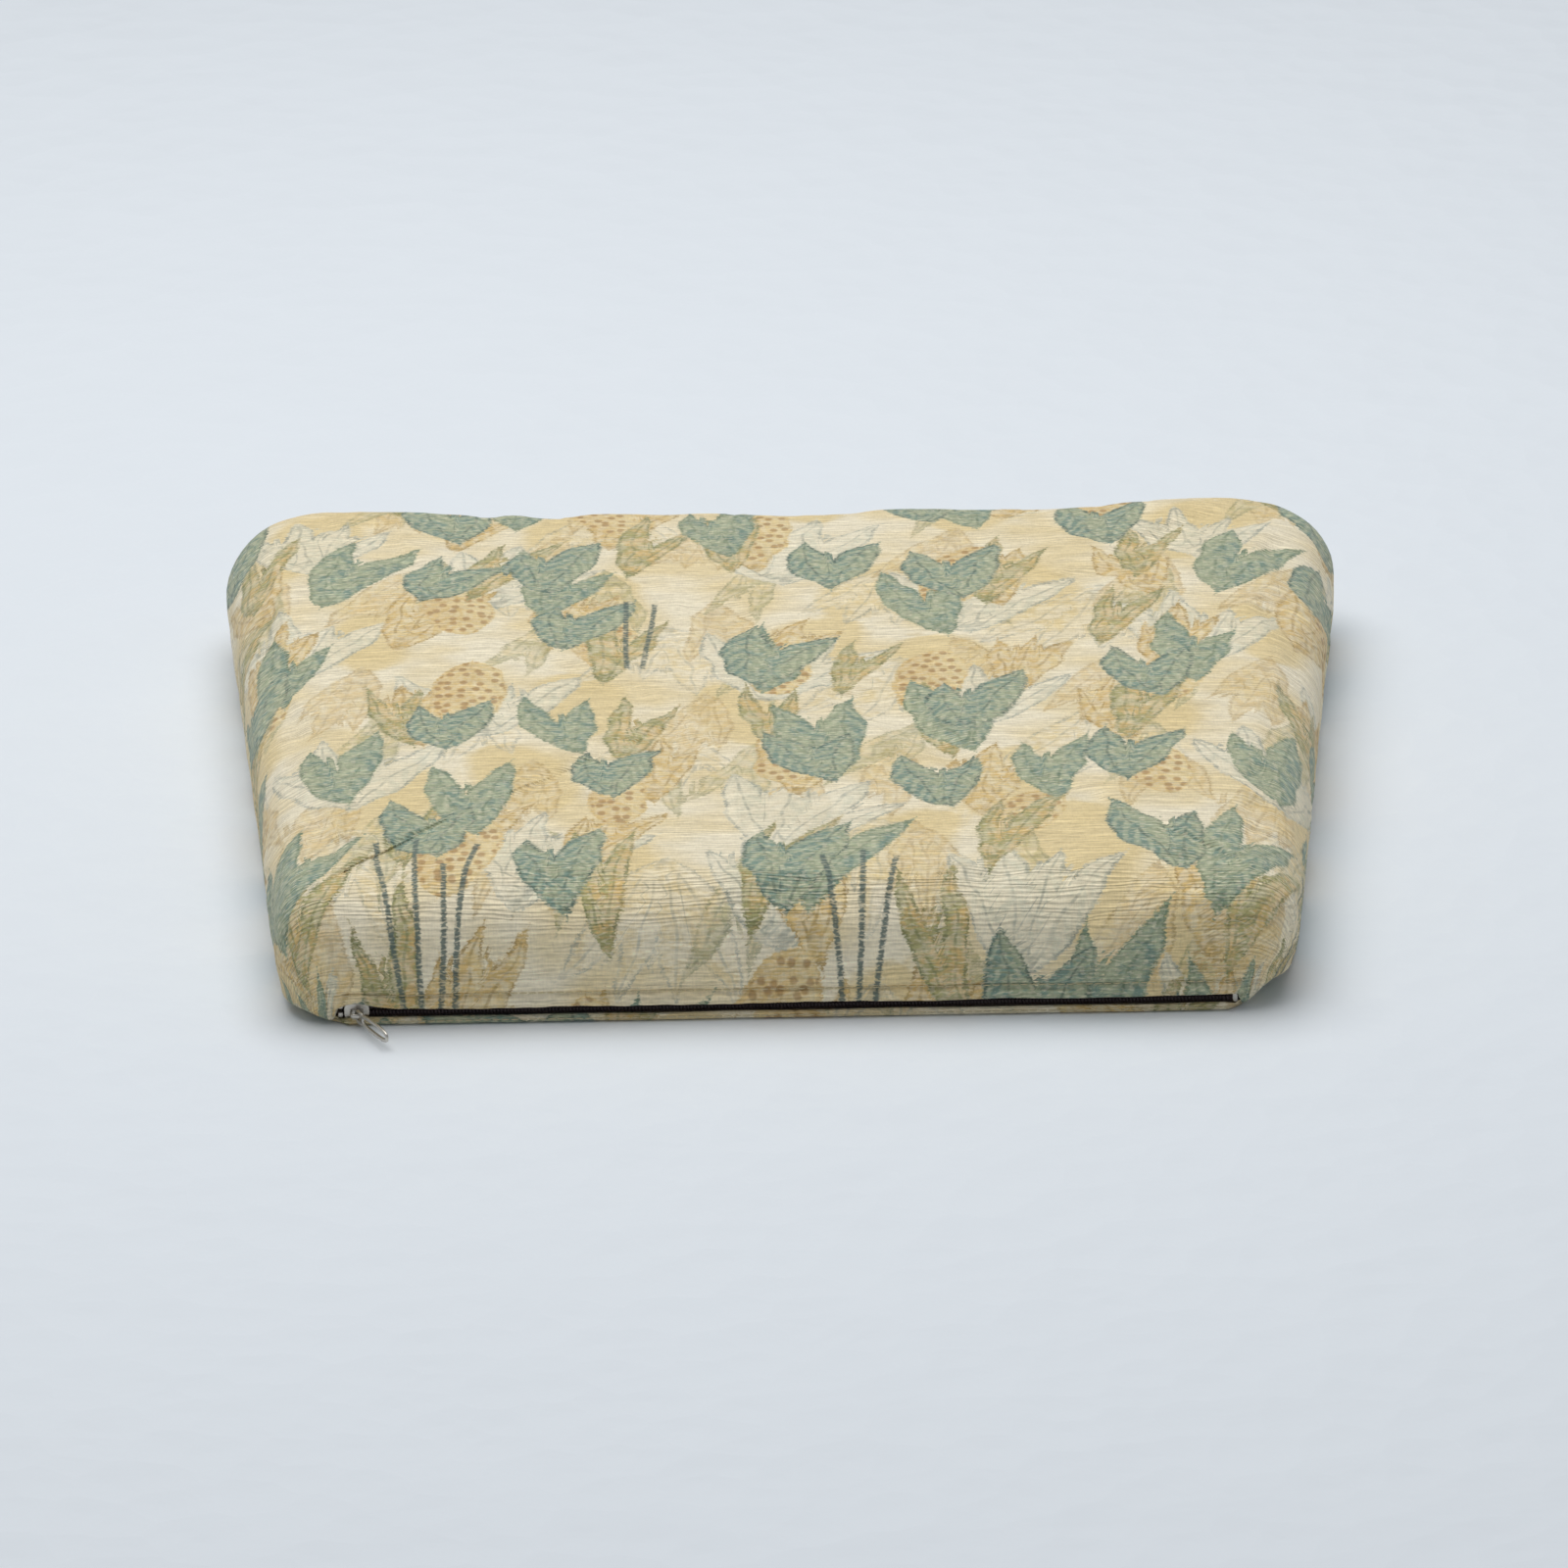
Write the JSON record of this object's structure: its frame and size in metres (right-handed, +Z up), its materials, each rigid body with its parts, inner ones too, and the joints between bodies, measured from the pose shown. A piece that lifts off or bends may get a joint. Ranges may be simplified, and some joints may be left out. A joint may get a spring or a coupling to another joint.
{
  "type": "chair seat pad",
  "caption": "Removable trapezoid seat pad for a dining chair: foam and wadding in a zipped tapestry cover with a flat underside and soft rounded edges.",
  "frame": {"origin": "centre of the flat underside", "axes": "+X along the width with the zip slider's closed end at +X, +Y towards the back edge with the zip, +Z up out of the seat"},
  "size_m": [0.4396, 0.4282, 0.054],
  "materials": {
    "tapestry_cloth": "ribbed woven tapestry with a muted floral pattern, matt",
    "calico_liner": "plain-weave unbleached calico, matt",
    "polyester_wadding": "bonded white fibre, matt",
    "upholstery_foam": "open-cell foam, cut faces, matt",
    "zip_tape": "woven polyester tape, mauve-grey",
    "nylon_coil": "moulded nylon monofilament, satin",
    "sewing_thread": "twisted polyester thread, slight sheen",
    "zip_metal": "nickel-plated zinc casting, tumbled"
  },
  "bodies": {
    "pad": {"cover_top": "tapestry_cloth", "cover_bottom": "tapestry_cloth", "liner_top": "calico_liner", "liner_bottom": "calico_liner", "wadding_top": "polyester_wadding", "wadding_bottom": "polyester_wadding", "foam_core": "upholstery_foam", "zip_tape_upper": "zip_tape", "zip_tape_lower": "zip_tape", "zip_coil_upper": "nylon_coil", "zip_coil_lower": "nylon_coil", "zip_top_stops": "zip_metal", "zip_bottom_stop": "zip_metal", "bar_tacks": "sewing_thread", "hem_thread_upper": "sewing_thread", "hem_thread_lower": "sewing_thread", "seam_thread": "sewing_thread"},
    "slider": {"slider_body": "zip_metal"},
    "pull": {"pull_tab": "zip_metal"}
  },
  "joints": [
    {"name": "zip_slide", "type": "slide", "parent": "pad", "child": "slider", "axis": [-1, 0, 0], "range_m": [0, 0.3164]},
    {"name": "pull_swing", "type": "hinge", "parent": "slider", "child": "pull", "pos_m": [0.15823, 0.2036, 0.0048], "axis": [0, 0, 1], "range_deg": [-116, 58]}
  ]
}
